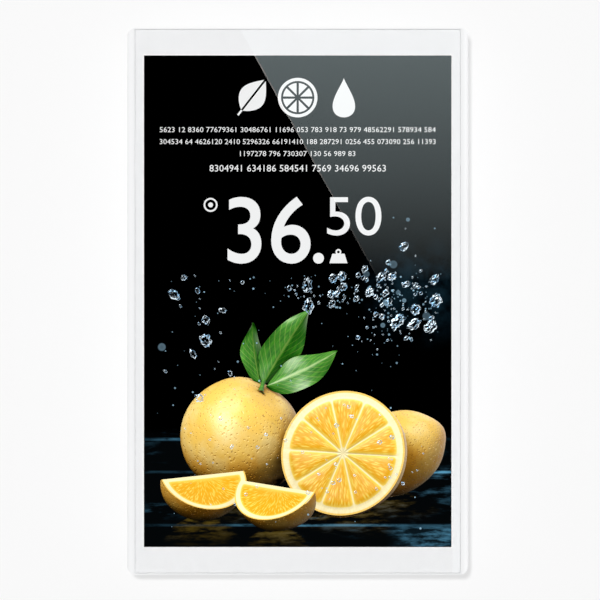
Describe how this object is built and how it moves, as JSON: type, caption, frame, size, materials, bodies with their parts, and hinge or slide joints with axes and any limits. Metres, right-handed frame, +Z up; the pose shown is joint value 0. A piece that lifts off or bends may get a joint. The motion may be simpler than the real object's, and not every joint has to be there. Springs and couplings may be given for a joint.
{
  "type": "digital signage display",
  "caption": "Slim portrait signage display with a white border and rounded side rails, picture under a full glass, rear bay with sockets, vents, keys and a wall mount.",
  "frame": {"origin": "centre of the four rear inserts, on the rear face of the bay", "axes": "+Z up, the glass faces -Y, +X is to the right of someone who looks at the picture"},
  "size_m": [0.151, 0.028, 0.2416],
  "materials": {
    "cover_glass": "clear polished",
    "white_print": "white back-printed ink",
    "tape": "black foam tape",
    "white_housing": "fine satin moulding",
    "polarizer": "dark film behind the picture",
    "cell_glass": "thin plate",
    "chip_black": "moulded black",
    "optical_film": "clear ribbed film",
    "light_guide": "clear acrylic",
    "reflector": "white reflective film",
    "flex": "amber flexible circuit",
    "led_package": "white package with yellow lens",
    "inner_white": "moulded",
    "tray_metal": "bright rolled sheet",
    "foam": "soft foam",
    "chassis_steel": "zinc plated sheet",
    "screw_steel": "plated",
    "circuit_board": "green solder mask",
    "connector_plastic": "moulded",
    "thermal_pad": "soft pad",
    "sink_aluminium": "extruded",
    "socket_metal": "tinned sheet",
    "board_parts": "small parts",
    "socket_black": "moulded black",
    "speaker_black": "moulded case",
    "white_key": "satin moulding",
    "brass": "machined"
  },
  "bodies": {
    "root": {"cover_glass": "cover_glass", "border_print": "white_print", "bonding_tape": "tape", "front_frame": "white_housing", "panel_gasket": "tape", "polarizer_front": "polarizer", "colour_filter_glass": "cell_glass", "transistor_glass": "cell_glass", "driver_chips": "chip_black", "polarizer_rear": "polarizer", "prism_films": "optical_film", "diffuser_film": "optical_film", "light_guide": "light_guide", "reflector_sheet": "reflector", "led_strip": "flex", "leds": "led_package", "panel_frame": "inner_white", "panel_tray": "tray_metal", "panel_flex": "flex", "foam_pads": "foam", "chassis_plate": "chassis_steel", "chassis_screws": "screw_steel", "main_board": "circuit_board", "board_screws": "screw_steel", "panel_connector": "connector_plastic", "processor": "chip_black", "thermal_pad": "thermal_pad", "heat_sink": "sink_aluminium", "memory_chips": "chip_black", "shield_can": "socket_metal", "board_parts": "board_parts", "coin_holder": "connector_plastic", "coin_cell": "socket_metal", "dc_jack": "socket_black", "hdmi_socket": "socket_metal", "usb_a_socket": "socket_metal", "usb_c_socket": "socket_metal", "card_slot": "socket_metal", "lan_socket": "socket_black", "speaker_left": "speaker_black", "speaker_right": "speaker_black", "speaker_screws": "screw_steel", "key_tape": "tape", "key_board": "circuit_board", "key_flex": "flex", "key_switches": "socket_black", "rear_cover": "white_housing", "mount_inserts": "brass", "cover_screws": "screw_steel"},
    "key_up": {"button_up": "white_key", "plunger_up": "connector_plastic"},
    "key_power": {"button_power": "white_key", "plunger_power": "connector_plastic"},
    "key_down": {"button_down": "white_key", "plunger_down": "connector_plastic"}
  },
  "joints": [
    {"name": "key_up_press", "type": "slide", "parent": "root", "child": "key_up", "axis": [0, -1, 0], "range_m": [0, 0.0005], "stiffness_N_per_m": 400},
    {"name": "key_power_press", "type": "slide", "parent": "root", "child": "key_power", "axis": [0, -1, 0], "range_m": [0, 0.0005], "stiffness_N_per_m": 400},
    {"name": "key_down_press", "type": "slide", "parent": "root", "child": "key_down", "axis": [0, -1, 0], "range_m": [0, 0.0005], "stiffness_N_per_m": 400}
  ]
}
